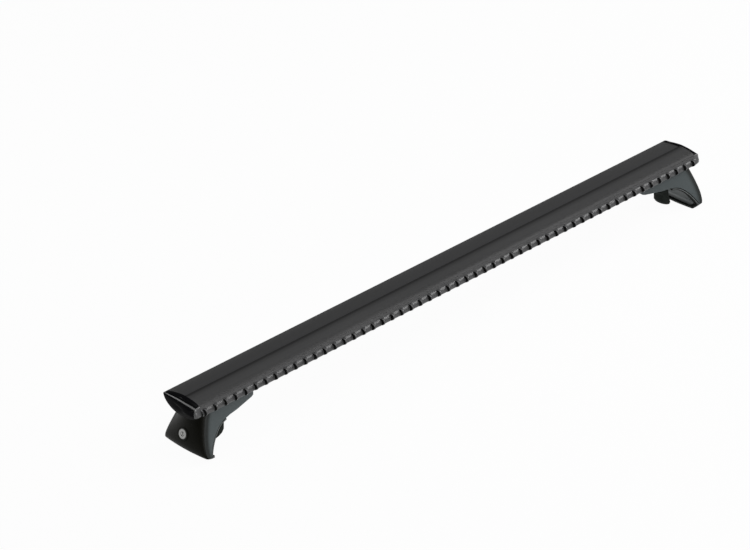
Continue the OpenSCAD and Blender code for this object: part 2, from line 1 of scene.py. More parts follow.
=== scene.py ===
# %% [markdown]
# # A roof rack crossbar, dressed for its picture
#
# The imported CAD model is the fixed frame: every solid already stands where it belongs, in metres,
# with X along the bar, the toothed nose towards -Y and Z up. This lesson gives the solids their
# finishes, and rebuilds the few pieces that need a smoother or finer shape than the solids have.

import math

import bmesh
import bpy
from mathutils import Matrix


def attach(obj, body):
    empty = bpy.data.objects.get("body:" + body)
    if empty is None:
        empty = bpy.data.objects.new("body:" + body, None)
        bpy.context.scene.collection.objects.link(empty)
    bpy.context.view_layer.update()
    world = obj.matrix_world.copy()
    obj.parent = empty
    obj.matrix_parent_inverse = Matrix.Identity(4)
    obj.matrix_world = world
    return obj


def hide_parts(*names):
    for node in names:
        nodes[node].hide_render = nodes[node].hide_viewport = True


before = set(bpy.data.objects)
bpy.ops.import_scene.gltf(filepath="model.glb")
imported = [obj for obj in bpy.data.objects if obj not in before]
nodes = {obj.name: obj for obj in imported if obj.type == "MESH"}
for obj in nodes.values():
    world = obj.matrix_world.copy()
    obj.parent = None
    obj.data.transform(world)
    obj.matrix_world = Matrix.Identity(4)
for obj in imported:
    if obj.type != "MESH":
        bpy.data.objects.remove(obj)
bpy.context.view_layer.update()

# %% [markdown]
# ## The camera
#
# The photograph looks down on the bar from its front left, through a long lens. The place of the
# camera was worked out from the row of teeth, which is a ruler with 54 marks. A long lens far away
# keeps the far end almost as large as the near end. The floor is wide, so the camera sees far.

# %% Set the camera
EYE = (-3.8975, -3.7428, 3.1938)
TILT = 60
HEADING = -45
LENS = 197.15
SEES_FAR = 400

camera_data = bpy.data.cameras.new("camera")
camera_data.lens = LENS
camera_data.sensor_width = 36
camera_data.clip_end = SEES_FAR
camera = bpy.data.objects.new("camera", camera_data)
camera.location = EYE
camera.rotation_euler = (math.radians(TILT), 0, math.radians(HEADING))
bpy.context.scene.collection.objects.link(camera)
bpy.context.scene.camera = camera
print("camera at", EYE, "lens", LENS)

# %% [markdown]
# ## Maths in a material
#
# A node tree is easier to read as arithmetic. `Signal` wraps one output socket. Adding or
# multiplying signals adds Math nodes, and `node` adds any other kind of node: it takes the node's
# type, its settings, and the values or links of its sockets. It could all be clicked together by
# hand, but then nobody could read why a pattern looks as it does.

# %% One class for shader maths
class Signal:
    def __init__(self, tree, socket):
        self.tree, self.socket = tree, socket

    def node(self, kind, settings=None, inputs=None, output=0):
        made = self.tree.nodes.new(kind)
        for key, value in (settings or {}).items():
            if key == "stops":
                elements = made.color_ramp.elements
                while len(elements) < len(value):
                    elements.new(0.5)
                for element, (position, colour) in zip(elements, value):
                    element.position, element.color = position, colour
            else:
                setattr(made, key, value)
        for key, value in (inputs or {}).items():
            if isinstance(value, Signal):
                self.tree.links.new(value.socket, made.inputs[key])
            else:
                made.inputs[key].default_value = value
        return Signal(self.tree, made.outputs[output])

    def maths(self, operation, a, b):
        return self.node("ShaderNodeMath", {"operation": operation}, {0: a, 1: b})

    def __add__(self, other):
        return self.maths("ADD", self, other)

    def __radd__(self, other):
        return self.maths("ADD", other, self)

    def __sub__(self, other):
        return self.maths("SUBTRACT", self, other)

    def __rsub__(self, other):
        return self.maths("SUBTRACT", other, self)

    def __mul__(self, other):
        return self.maths("MULTIPLY", self, other)

    def __rmul__(self, other):
        return self.maths("MULTIPLY", other, self)


print("signals can add, subtract and multiply")

# %% [markdown]
# Every finish starts the same way: a Principled shader, Object coordinates in metres, and a few
# constants on the shader's own sockets. Object coordinates stay with a piece when it moves, and the
# grain keeps its real size. `start_finish` hands back the coordinates as the first signal, which
# the finishes call `place`, and `wire` links signals to the shader's sockets by name.

# %% Start a finish and wire it up
def start_finish(name, **constants):
    material = bpy.data.materials.new(name)
    material.use_nodes = True
    tree = material.node_tree
    shader = tree.nodes["Principled BSDF"]
    for key, value in constants.items():
        shader.inputs[key.replace("_", " ")].default_value = value
    coordinates = tree.nodes.new("ShaderNodeTexCoord")
    return material, shader, Signal(tree, coordinates.outputs["Object"])


def wire(shader, **signals):
    for key, signal in signals.items():
        signal.tree.links.new(signal.socket, shader.inputs[key.replace("_", " ")])


print("finishes start from a Principled shader")

# %% [markdown]
# The patterns are made of few parts: a noise, a mix of two colours, a colour ramp used as a curve
# of grey, one axis of the coordinates, and a bump. A Mix node has sockets for numbers, vectors and
# colours under the same names, so its colour sockets are called by their number.

# %% Parts of a pattern
MIX_A, MIX_B, MIX_RESULT = 6, 7, 2


def grain(place, scale, stretch=(1, 1, 1), detail=3, rough=0.55):
    spread = place.node("ShaderNodeMapping", {}, {"Vector": place, "Scale": stretch})
    return place.node(
        "ShaderNodeTexNoise", {},
        {"Vector": spread, "Scale": scale, "Detail": detail, "Roughness": rough}, "Fac")


def opaque(colour):
    return colour if isinstance(colour, Signal) else (*colour, 1)


def tint(place, amount, dark, light):
    return place.node(
        "ShaderNodeMix", {"data_type": "RGBA"},
        {"Factor": amount, MIX_A: opaque(dark), MIX_B: opaque(light)}, MIX_RESULT)


def ramp(value, stops):
    greys = [(position, (grey, grey, grey, 1)) for position, grey in stops]
    return value.node("ShaderNodeValToRGB", {"stops": greys}, {"Fac": value})


def along(place, axis):
    return place.node("ShaderNodeSeparateXYZ", {}, {"Vector": place}, axis)


def bump(place, height, depth, strength):
    return place.node(
        "ShaderNodeBump", {}, {"Height": height, "Distance": depth, "Strength": strength})


print("patterns: grain, tint, ramp, along, bump")

# %% [markdown]
# ## Black anodised aluminium
#
# The extrusion is satin black. Anodising keeps the fine lines that the die draws along the bar, so
# the grain is a noise stretched along X, and it works on roughness more than on colour. The colour
# across the bar carries painted shade and painted light: it is painted darker towards the step in
# the deck, with a painted shadow line along the step, the brow is painted a shade deeper to damp its
# highlight, and the face above the teeth is painted lighter. The stops run across the bar, from 31
# mm before its centre line to 31 mm behind it.

# %% Anodised finish
SHOWN_WIDTH = 0.0625
# Painted light and shade across the bar: a lighter face above the teeth, a deeper brow, and a painted
# shadow line at the step.
PAINTED_SHADING_STOPS = [
    (0, 1), (0.046, 1),  # the face above the teeth
    (0.066, 0.34), (0.09, 0.28), (0.15, 0.4), (0.23, 0.56), (0.35, 0.6),  # brow and crown
    (0.46, 0.45), (0.5, 0.24), (0.54, 0.18), (0.555, 0.02), (0.575, 0.25),  # the step
    (0.62, 0.55),  # the rear deck
]

anodised, shader, place = start_finish("black_anodised", Metallic=0.3, Specular_IOR_Level=0.1)
lines = grain(place, scale=900, stretch=(0.01, 1, 1), detail=4)
cloud = grain(place, scale=14, stretch=(0.3, 1, 1))
tone = tint(place, cloud, (0.070, 0.070, 0.071), (0.088, 0.088, 0.089))
# The painted light and shade across the bar, from the stops above.
painted_shading = ramp(0.5 + (1 / SHOWN_WIDTH) * along(place, "Y"), PAINTED_SHADING_STOPS)
wire(shader,
     Base_Color=tint(place, painted_shading, (0.004, 0.004, 0.004), tone),
     Roughness=0.36 + 0.10 * lines + 0.06 * cloud,
     Normal=bump(place, lines, depth=0.00001, strength=0.2))
print("finish:", anodised.name, "with", len(PAINTED_SHADING_STOPS), "stops across")

# %% [markdown]
# ## Moulded plastics and rubbers
#
# The foot's cover, the jaw and the soft parts are moulded, with a spark-eroded grain. They
# differ in colour, gloss and the size of the grain, so one function makes them all. A larger
# `fineness` gives a finer grain, and `depth` is the depth of the grain in metres.

# %% Moulded finishes
def moulded(name, dark, light, roughness, fineness, depth, **constants):
    material, shader, place = start_finish(name, **constants)
    pebbles = grain(place, scale=fineness, detail=2)
    cloud = grain(place, scale=22, detail=4)
    wire(shader,
         Base_Color=tint(place, 0.5 * pebbles + 0.5 * cloud, dark, light),
         Roughness=roughness - 0.06 + 0.12 * pebbles,
         Normal=bump(place, pebbles, depth, strength=0.6))
    print("finish:", name)
    return material


cover_black = moulded(
    "cover_black", dark=(0.003, 0.003, 0.002), light=(0.0055, 0.0055, 0.004),
    roughness=0.45, fineness=1800, depth=0.00002, Specular_IOR_Level=0.05)
jaw_black = moulded(
    "jaw_black", dark=(0.006, 0.008, 0.007), light=(0.012, 0.014, 0.012),
    roughness=0.55, fineness=1500, depth=0.00003, Specular_IOR_Level=0.04)
# Dark rubber for the jaw liner, and painted shade in the grooves of the pads.
pad_rubber = moulded(
    "pad_rubber", dark=(0.006, 0.007, 0.006), light=(0.011, 0.012, 0.011),
    roughness=0.5, fineness=1200, depth=0.00003, Specular_IOR_Level=0.1)
# The pads' own pale grey, set paler still as painted light for the shaded arches.
pad_pale_and_painted_light = moulded(
    "pad_pale_and_painted_light", dark=(0.10, 0.108, 0.108), light=(0.13, 0.138, 0.138),
    roughness=0.6, fineness=1200, depth=0.00003, Specular_IOR_Level=0.2)
deck_rubber = moulded(
    "deck_rubber", dark=(0.024, 0.024, 0.025), light=(0.032, 0.032, 0.033),
    roughness=0.5, fineness=1600, depth=0.00002, Specular_IOR_Level=0.3)

# %% [markdown]
# The strip is satin, and the straight sides of its teeth, which face away from the lamps, are
# painted black as painted shade; the same matt black serves the cap's underside. The cap is glossy
# black, its nose gets the strip's paler satin as a painted highlight, and its upper edge is painted
# paler as a painted highlight.

# %% Finishes of the strip and the caps
strip_rubber = moulded(
    "strip_rubber", dark=(0.042, 0.042, 0.043), light=(0.060, 0.060, 0.061),
    roughness=0.38, fineness=1600, depth=0.00002, Specular_IOR_Level=0.35)
# Matt black for the cap's underside, and painted shade on the straight flanks of the teeth.
matt_black_and_flank_shade = moulded(
    "matt_black_and_flank_shade", dark=(0.003, 0.003, 0.003), light=(0.006, 0.006, 0.006),
    roughness=0.6, fineness=1600, depth=0.00002, Specular_IOR_Level=0.05)
cap_gloss = moulded(
    "cap_gloss", dark=(0.0025, 0.0025, 0.003), light=(0.0045, 0.0045, 0.005),
    roughness=0.16, fineness=700, depth=0.000004, Specular_IOR_Level=0.015)
# A painted highlight on the cap's nose, in the strip's paler satin.
cap_nose_painted_highlight = moulded(
    "cap_nose_painted_highlight", dark=(0.042, 0.042, 0.043), light=(0.060, 0.060, 0.061),
    roughness=0.36, fineness=1600, depth=0.00002)
# A painted highlight on the cap's upper edge.
cap_edge_painted_highlight = moulded(
    "cap_edge_painted_highlight", dark=(0.10, 0.10, 0.10), light=(0.15, 0.15, 0.15),
    roughness=0.3, fineness=900, depth=0.00001)

# %% [markdown]
# ## The foot's grey
#
# The side of the foot is a cold grey. It is painted darker as painted shade towards its outer corner,
# where the shell rolls round to the black cover, and towards its toe at the bottom. The corner leans
# inwards with height, so the shader works out how far each point lies behind it. Both feet share one
# finish, because it takes X without its sign. The sizes of the foot are in millimetres, as in the
# solids.

# %% Foot finish
MM = 0.001
FOOT_X = 543
HOOK_DROP = 7
CORNER_LEAN = 17.5
LEAN_FROM = 10
LEAN_HEIGHT = 53
LEAN_CURVE = 1.5
PAINTED_SHADE_SPAN = 20

foot_grey, shader, place = start_finish("foot_grey", Specular_IOR_Level=0.2)
height = along(place, "Z")
outwards = along(place, "X")
above = (1 / (LEAN_HEIGHT * MM)) * (height - (HOOK_DROP + LEAN_FROM) * MM)
risen = above.maths("MAXIMUM", above, 0)
corner = FOOT_X * MM - CORNER_LEAN * MM * risen.maths("POWER", risen, LEAN_CURVE)
behind = corner - outwards.maths("ABSOLUTE", outwards, 0)
# Painted shade: darker towards the outer corner.
corner_painted_shade = ramp(
    (1 / (PAINTED_SHADE_SPAN * MM)) * behind, [(0, 0.05), (0.34, 0.12), (0.46, 0.5), (0.6, 0.82), (0.8, 0.95)])
# Painted shade: darker towards the toe at the bottom.
toe = ramp((1 / (PAINTED_SHADE_SPAN * MM)) * height, [(0, 0.05), (0.26, 0.15), (0.4, 0.8), (0.6, 1)])
pebbles = grain(place, scale=1800, detail=2)
cloud = grain(place, scale=22, detail=4)
side_grey = tint(place, 0.5 * pebbles + 0.5 * cloud, (0.048, 0.057, 0.059), (0.060, 0.070, 0.072))
wire(shader,
     Base_Color=tint(place, corner_painted_shade * toe, (0.004, 0.005, 0.004), side_grey),
     Roughness=0.49 + 0.12 * pebbles,
     Normal=bump(place, pebbles, depth=0.00003, strength=0.6))
print("finish:", foot_grey.name)

# %% [markdown]
# ## Metals
#
# The hidden hardware is zinc plated steel, which has a slightly cloudy, blotchy sheen.

# %% Zinc plated steel
zinc_steel, shader, place = start_finish("zinc_steel", Metallic=1.0)
cloud = grain(place, scale=320, detail=4)
wire(shader,
     Base_Color=tint(place, cloud, (0.48, 0.49, 0.51), (0.66, 0.67, 0.70)),
     Roughness=0.30 + 0.25 * cloud,
     Normal=bump(place, cloud, depth=0.00001, strength=0.4))
print("finish:", zinc_steel.name)

# %% [markdown]
# The face of the lock has turned rings round a small core. The ring pattern follows the distance
# from the lock's own axis: the offset from a point on the axis, crossed with its direction. Without
# the sign of X, one pattern serves both locks.

# %% Lock finish
LOCK_POINT = (0.54746, 0, 0.0335)
LOCK_AXIS = (0.966, 0, 0.259)
LOCK_RADIUS = 0.008
LOCK_RINGS = [
    (0, 1), (0.3, 0.95), (0.36, 0.1), (0.43, 0.1), (0.48, 0.75), (0.84, 0.7), (0.92, 0.2), (1, 0.1)]


def vector_maths(operation, *vectors, output=0):
    inputs = dict(enumerate(vectors))
    return vectors[0].node("ShaderNodeVectorMath", {"operation": operation}, inputs, output)


lock_silver, shader, place = start_finish("lock_silver", Metallic=1.0)
offset = vector_maths("SUBTRACT", vector_maths("ABSOLUTE", place), LOCK_POINT)
radius = vector_maths("LENGTH", vector_maths("CROSS_PRODUCT", offset, LOCK_AXIS), output="Value")
rings = ramp((1 / LOCK_RADIUS) * radius, LOCK_RINGS)
cloud = grain(place, scale=900)
wire(shader,
     Base_Color=tint(place, rings * (0.8 + 0.2 * cloud), (0.02, 0.02, 0.02), (0.42, 0.42, 0.41)),
     Roughness=0.34 + 0.15 * cloud,
     Normal=bump(place, cloud, depth=0.00001, strength=0.4))
print("finish:", lock_silver.name)

# %% [markdown]
# ## Dress the solids
#
# The solids come in as loose triangles, which render with hard facets. A small Geometry Nodes tree
# welds them and shades them smooth, and keeps the edges sharp where two faces meet at a real corner.
# It leaves the mesh itself alone.

# %% Smooth shading
WELD = 0.00001
REAL_CORNER = 28


def smooth_tree(corner):
    tree = bpy.data.node_groups.new("smooth_by_corner", "GeometryNodeTree")
    tree.interface.new_socket("Geometry", in_out="INPUT", socket_type="NodeSocketGeometry")
    tree.interface.new_socket("Geometry", in_out="OUTPUT", socket_type="NodeSocketGeometry")
    make, link = tree.nodes.new, tree.links.new
    source, target = make("NodeGroupInput"), make("NodeGroupOutput")
    weld = make("GeometryNodeMergeByDistance")
    weld.inputs["Distance"].default_value = WELD
    faces, edges = make("GeometryNodeSetShadeSmooth"), make("GeometryNodeSetShadeSmooth")
    edges.domain = "EDGE"
    edges.inputs["Shade Smooth"].default_value = False
    angle = make("GeometryNodeInputMeshEdgeAngle")
    sharp = make("FunctionNodeCompare")
    sharp.data_type, sharp.operation = "FLOAT", "GREATER_THAN"
    sharp.inputs["B"].default_value = corner
    link(source.outputs[0], weld.inputs["Geometry"])
    link(weld.outputs[0], faces.inputs["Geometry"])
    link(faces.outputs[0], edges.inputs["Geometry"])
    link(angle.outputs["Unsigned Angle"], sharp.inputs["A"])
    link(sharp.outputs[0], edges.inputs["Selection"])
    link(edges.outputs[0], target.inputs[0])
    return tree


soften = smooth_tree(math.radians(REAL_CORNER))
print("smooth up to", REAL_CORNER, "degrees")

# %% [markdown]
# Every solid gets its finish by its name. Whatever the table doesn't name is hidden hardware.

# %% Finishes by name
FINISH_OF = {
    "wing_bar": anodised, "wind_strip": strip_rubber, "slot_cover": deck_rubber,
    "end_cap": cap_gloss, "foot_shell": foot_grey, "arch_pad": pad_rubber, "end_cover": cover_black,
    "lock_ring": cover_black, "lock_barrel": lock_silver, "clamp_jaw": jaw_black,
    "jaw_liner": pad_rubber,
}

for name, solid in nodes.items():
    kind = name.removesuffix("_left").removesuffix("_right")
    solid.data.materials.clear()
    solid.data.materials.append(FINISH_OF.get(kind, zinc_steel))
    modifier = solid.modifiers.new("smooth", "NODES")
    modifier.node_group = soften
print("dressed", len(nodes), "solids")

# %% [markdown]
# ## The wing section
#
# The pieces that are rebuilt follow the section of the extrusion, which is drawn with cubic curves:
# the tail, the deck, the brow, the face at the nose, and the two halves of the belly. The numbers
# are those of the solids, in millimetres from the feet's centre line and the underside of the bar.
# The caps have no step in the deck, so the deck runs up to the crest here. Sampled finely, the
# curves give smooth highlights.

# %% Curves of the wing section
BAR_BASE = 62
BAR_END = 537.25
TAIL_LOW = (41.7, 20.6)
TAIL_TOP = (41.6, 22.9)
CREST = (3.2, 30.3)
SEAM = (-28.8, 20)
NOSE = (-31.1, 12.3)
BELLY = (-1, 0)


def cubic(a, b, c, d, steps):
    points = []
    for i in range(steps + 1):
        t = i / steps
        w = ((1 - t) ** 3, 3 * t * (1 - t) ** 2, 3 * t * t * (1 - t), t ** 3)
        points.append(tuple(sum(k * p for k, p in zip(w, axis)) for axis in zip(a, b, c, d)))
    return points


tail = cubic(TAIL_LOW, (42.3, 21.3), (42.3, 22.4), TAIL_TOP, 6)
deck = cubic(TAIL_TOP, (30, 26.6), (14, 30.2), CREST, 24)
brow = cubic(CREST, (-20, 29.4), (-28.5, 27), SEAM, 30)
nose_face = cubic(SEAM, (-29.6, 17.5), (-31, 15), NOSE, 8)
belly_front = cubic(BELLY, (-14, 0), (-31.5, 5), NOSE, 24)
belly_rear = cubic(BELLY, (24, 0), (39, 10), TAIL_LOW, 30)
section = tail[:-1] + deck + brow[1:] + nose_face[1:] + belly_front[-2::-1] + belly_rear[1:-1]
print("section points:", len(section))

# %% [markdown]
# A closed skin through rings of equally many points makes the lofted pieces, and the straight ones
# too. `skin` only collects points and faces: the first end, the last end, and then one band of
# faces after the other. `finish_piece` turns them into an object, points the faces outwards and
# shades them smooth up to a given corner angle.

# %% Helpers for meshes
ENDS = 2


def skin(rings):
    count = len(rings[0])
    points = [point for ring in rings for point in ring]
    faces = [tuple(range(count))[::-1], tuple((len(rings) - 1) * count + i for i in range(count))]
    for k in range(len(rings) - 1):
        for i in range(count):
            j = (i + 1) % count
            faces.append((k * count + i, k * count + j, (k + 1) * count + j, (k + 1) * count + i))
    return points, faces


def finish_piece(name, parts, finishes, corner, bevel=0.0):
    shape = bmesh.new()
    for points, faces in parts:
        verts = [shape.verts.new([MM * value for value in point]) for point in points]
        for face in faces:
            shape.faces.new([verts[i] for i in face])
    bmesh.ops.recalc_face_normals(shape, faces=shape.faces)
    if bevel:
        least = math.radians(corner)
        sharp = [e for e in shape.edges if e.is_manifold and e.calc_face_angle() > least]
        bmesh.ops.bevel(
            shape, geom=sharp, offset=bevel * MM, segments=2, profile=0.5, affect="EDGES")
    mesh = bpy.data.meshes.new(name)
    shape.to_mesh(mesh)
    shape.free()
    mesh.shade_smooth()
    mesh.set_sharp_from_angle(angle=math.radians(corner))
    for finish in finishes:
        mesh.materials.append(finish)
    piece = bpy.data.objects.new(name, mesh)
    bpy.context.scene.collection.objects.link(piece)
    print(name, "faces:", len(mesh.polygons))
    return piece


# %% [markdown]
# ## End caps
#
# Each cap carries the wing section on, a little longer at the nose than at the tail, while its
# crest sinks to a straight edge. The real one is glossy and its edge is rounded, more so at the
# nose, which draws one bright line. `forward` is 0 at the tail and 1 at the nose, `sunk` is the
# section with part of its crest gone, and `inset` moves an outline inwards.

# %% Shapes of a cap's outlines
TAIL_Y = 42
CHORD = 73
CAP_EDGE = 24
ROUND_AT_TAIL = 1.2
ROUND_MORE_AT_NOSE = 3.2


def forward(y):
    return (TAIL_Y - y) / CHORD


def edge_round(y):
    return ROUND_AT_TAIL + ROUND_MORE_AT_NOSE * forward(y) ** 4


def sunk(share):
    return [(y, z + share ** 4 * (min(z, CAP_EDGE) - z)) for y, z in section]


def inset(points, share):
    count, moved = len(points), []
    for i, (y, z) in enumerate(points):
        before, after = points[i - 1], points[(i + 1) % count]
        dy, dz = after[0] - before[0], after[1] - before[1]
        depth = share * edge_round(y) / math.hypot(dy, dz)
        moved.append((y - depth * dz, z + depth * dy))
    return moved


print("edge radius at tail and nose:", edge_round(TAIL_Y), round(edge_round(TAIL_Y - CHORD), 2))

# %% [markdown]
# A cap is a row of rings. The first ones run straight on and sink, the next ones turn over the edge
# on a quarter circle, and the last ones shrink towards the middle of the slightly domed end. Each
# ring is noted with its way along the straight part, its way round the turn, and its rise.

# %% Rings of a cap
CAP_LENGTH = 8.25
NOSE_EXTRA = 2.6
DOME = 2.4
SUNK_BEFORE_TURN = 0.86
STRAIGHT = (0, 0.1, 0.2, 0.3, 0.45, 0.6, 0.75, 0.88, 1)
TURNS = 7
SHRINK = (0.98, 0.94, 0.88, 0.8, 0.68, 0.52, 0.34, 0.15)
END_MIDDLE = (-4, 13)


def cap_rings(side):
    rings = [(share, 0, 0, sunk(SUNK_BEFORE_TURN * share)) for share in STRAIGHT]
    for k in range(1, TURNS + 1):
        turn = math.radians(90 * k / TURNS)
        outline = sunk(SUNK_BEFORE_TURN + (1 - SUNK_BEFORE_TURN) * math.sin(turn))
        rings.append((1, math.sin(turn), 0, inset(outline, 1 - math.cos(turn))))
    edge = rings[-1][3]
    for keep in SHRINK:
        outline = [tuple(m + keep * (p - m) for p, m in zip(point, END_MIDDLE)) for point in edge]
        rings.append((1, 1, DOME * (1 - keep ** 2) ** 0.8, outline))
    placed = []
    for share, turned, rise, outline in rings:
        ring = []
        for (y, z), (start_y, _) in zip(outline, section):
            curve = edge_round(start_y)
            straight = CAP_LENGTH + NOSE_EXTRA * forward(start_y) - curve
            x = BAR_END + share * straight + turned * curve + rise
            ring.append((side * x, y, BAR_BASE + z))
        placed.append(ring)
    return placed


print("cap rings:", len(cap_rings(1)), "points in one:", len(section))

# %% [markdown]
# The nose of the cap gets the strip's paler satin as a painted highlight, its upper edge is painted
# paler as a painted highlight, and its underside is matt. Each face is looked at by the ring it
# starts from and by its place in metres.

# %% Two caps
GLOSS, NOSE_PAINTED_HIGHLIGHT, PAINTED_HIGHLIGHT_EDGE, MATT = range(4)
EDGE_RINGS = range(len(STRAIGHT), len(STRAIGHT) + 3)
EDGE_ABOVE = 0.0835
NOSE_BEFORE = -0.0265
NOSE_FROM, NOSE_TO = 0.0715, 0.0885
FACES_DOWN = -0.2


def cap_part(face):
    ring = (face.index - ENDS) // len(section)
    _, y, z = face.center
    # The upper edge of the turn gets the painted highlight, and so does the band along the nose.
    if ring in EDGE_RINGS and z > EDGE_ABOVE:
        return PAINTED_HIGHLIGHT_EDGE
    if y < NOSE_BEFORE and NOSE_FROM < z < NOSE_TO:
        return NOSE_PAINTED_HIGHLIGHT
    return MATT if face.normal.z < FACES_DOWN else GLOSS


for side, word in ((-1, "left"), (1, "right")):
    cap = finish_piece(
        "cap_" + word, [skin(cap_rings(side))], [cap_gloss, cap_nose_painted_highlight, cap_edge_painted_highlight, matt_black_and_flank_shade],
        corner=40)
    for face in cap.data.polygons[ENDS:]:
        face.material_index = cap_part(face)
    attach(cap, "bar")
    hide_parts("end_cap_" + word)

# %% [markdown]
# ## Wind strip
#
# The strip is one rubber profile with 54 equal teeth. Each tooth has one straight side, and slants
# back to the root on the other, most of all up to its waist. One tooth is modelled with softened
# edges. Geometry Nodes then set it along the bar by number and pitch, as the mould maker did.

# %% One tooth
REACH = 10.6
ROOT = 8.5
TIP = 2.3
WAIST = 0.63 * REACH
WAIST_WIDTH = 0.46 * ROOT
tooth_top = [
    (0.8, -0.6), (-3.1, 0.9), (-5.2, 1.6), (-WAIST, 1.21), (-8.27, 0.8), (-9.54, -0.9), (-REACH, -2.7)]
tooth_under = [(-10.4, -4.4), (-8.4, -7.2), (-WAIST, -8.29), (-4.6, -9.6), (-1.2, -9.6)]
tooth_line = tooth_top + tooth_under


def tooth_width(y):
    if y > -WAIST:
        return ROOT + (ROOT - WAIST_WIDTH) * min(y, 0) / WAIST
    return WAIST_WIDTH + (WAIST_WIDTH - TIP) * (y + WAIST) / (REACH - WAIST)


def tooth_side(width):
    return [(width(y) - ROOT / 2, SEAM[0] + y, BAR_BASE + SEAM[1] + z) for y, z in tooth_line]


count = len(tooth_line)
upper_waist, lower_waist = (i for i in range(count) if tooth_line[i][0] == -WAIST)
to_waist = [*range(upper_waist + 1), *range(lower_waist, count)]
to_tip = range(upper_waist, lower_waist + 1)
tooth_faces = [tuple(range(count))]
tooth_faces += [(i, (i + 1) % count, count + (i + 1) % count, count + i) for i in range(count)]
tooth_faces += [tuple(count + i for i in part) for part in (to_waist, to_tip)]
tooth_points = tooth_side(lambda y: 0) + tooth_side(tooth_width)
tooth = finish_piece("tooth", [(tooth_points, tooth_faces)], [strip_rubber], corner=25, bevel=0.4)

# %% [markdown]
# The body of the strip is three outlines pushed along the bar: the rounded nose with its seat
# against the aluminium, a neck, and the round tongue that holds it in the groove. The nose starts at
# the seam above it and ends at a point of the belly's front curve.

# %% Body of the strip
FRONT = (-33.9, 12.6)
TONGUE = (-22.5, 14.2)
TONGUE_RADIUS = 2.2
NECK_FRONT = -26.8
NECK_HALF = 1
SEAT_Y = -26.3
ENDS_AT = 18
low = belly_front[ENDS_AT]
nose_line = (
    cubic(SEAM, (SEAM[0] - 3.4, SEAM[1] - 0.6), (FRONT[0], FRONT[1] + 3), FRONT, 14)
    + cubic(FRONT, (FRONT[0], FRONT[1] - 2.2), (low[0] - 2.6, low[1] + 1.6), low, 10)[1:]
    + [(SEAT_Y, low[1] + 1.2), (SEAT_Y, 19)]
)
neck_low, neck_high = TONGUE[1] - NECK_HALF, TONGUE[1] + NECK_HALF
neck_line = [
    (NECK_FRONT, neck_low), (NECK_FRONT, neck_high), (TONGUE[0], neck_high), (TONGUE[0], neck_low)]
tongue_turns = [math.radians(turn) for turn in range(0, 360, 15)]
tongue_line = [
    (TONGUE[0] + TONGUE_RADIUS * math.cos(turn), TONGUE[1] + TONGUE_RADIUS * math.sin(turn))
    for turn in tongue_turns
]


def pushed(outline):
    return skin([[(x, y, BAR_BASE + z) for y, z in outline] for x in (-BAR_END, BAR_END)])


strip_lines = (nose_line, neck_line, tongue_line)
strip_body = finish_piece(
    "strip_body", [pushed(line) for line in strip_lines], [strip_rubber], corner=35)

# %% [markdown]
# The tree takes the body as its geometry. Its inputs are the number of teeth, their pitch, the
# tooth and the finish. A line of points carries the teeth: it starts half its length to the left,
# which is half the pitch times one less than the number. The teeth are then made real, because an
# exported file knows no instances.

# %% Row of teeth with Geometry Nodes
TREE_INPUTS = (("Tooth", "Object"), ("Number", "Int"), ("Pitch", "Float"), ("Finish", "Material"))


def teeth_tree():
    tree = bpy.data.node_groups.new("row_of_teeth", "GeometryNodeTree")
    make, link, add = tree.nodes.new, tree.links.new, tree.interface.new_socket
    add("Geometry", in_out="INPUT", socket_type="NodeSocketGeometry")
    for label, kind in TREE_INPUTS:
        add(label, in_out="INPUT", socket_type="NodeSocket" + kind)
    add("Geometry", in_out="OUTPUT", socket_type="NodeSocketGeometry")

    def maths(operation, constant=0.0):
        made = make("ShaderNodeMath")
        made.operation, made.inputs[1].default_value = operation, constant
        return made

    source, target = make("NodeGroupInput"), make("NodeGroupOutput")
    gaps, length, start_x = maths("SUBTRACT", 1), maths("MULTIPLY"), maths("MULTIPLY", -0.5)
    start, step = make("ShaderNodeCombineXYZ"), make("ShaderNodeCombineXYZ")
    line, shown = make("GeometryNodeMeshLine"), make("GeometryNodeObjectInfo")
    teeth, both = make("GeometryNodeInstanceOnPoints"), make("GeometryNodeJoinGeometry")
    real, coat = make("GeometryNodeRealizeInstances"), make("GeometryNodeSetMaterial")
    link(source.outputs["Number"], gaps.inputs[0])
    link(gaps.outputs[0], length.inputs[0])
    link(source.outputs["Pitch"], length.inputs[1])
    link(length.outputs[0], start_x.inputs[0])
    link(start_x.outputs[0], start.inputs["X"])
    link(source.outputs["Pitch"], step.inputs["X"])
    link(source.outputs["Number"], line.inputs["Count"])
    link(start.outputs[0], line.inputs["Start Location"])
    link(step.outputs[0], line.inputs["Offset"])
    link(source.outputs["Tooth"], shown.inputs["Object"])
    link(line.outputs["Mesh"], teeth.inputs["Points"])
    link(shown.outputs["Geometry"], teeth.inputs["Instance"])
    link(source.outputs["Geometry"], both.inputs[0])
    link(teeth.outputs[0], both.inputs[0])
    link(both.outputs[0], real.inputs[0])
    link(real.outputs[0], coat.inputs["Geometry"])
    link(source.outputs["Finish"], coat.inputs["Material"])
    link(coat.outputs[0], target.inputs[0])
    print("tree:", tree.name, "nodes:", len(tree.nodes))
    return tree


# %% [markdown]
# `grown` sets the tree's inputs, each by its identifier, and keeps what the tree makes as a plain
# mesh without a modifier. The body and the single tooth aren't needed after that.

# %% The strip
TEETH = 54
PITCH = 20
FLANK_LEAN = -0.8
FLANK_BEFORE = -0.029


def grown(piece, tree, name, **values):
    modifier = piece.modifiers.new("grow", "NODES")
    modifier.node_group = tree
    for item in tree.interface.items_tree:
        if item.item_type == "SOCKET" and item.in_out == "INPUT" and item.name in values:
            modifier[item.identifier] = values[item.name]
    evaluated = piece.evaluated_get(bpy.context.evaluated_depsgraph_get())
    mesh = bpy.data.meshes.new_from_object(evaluated)
    mesh.name = name
    made = bpy.data.objects.new(name, mesh)
    bpy.context.scene.collection.objects.link(made)
    return made


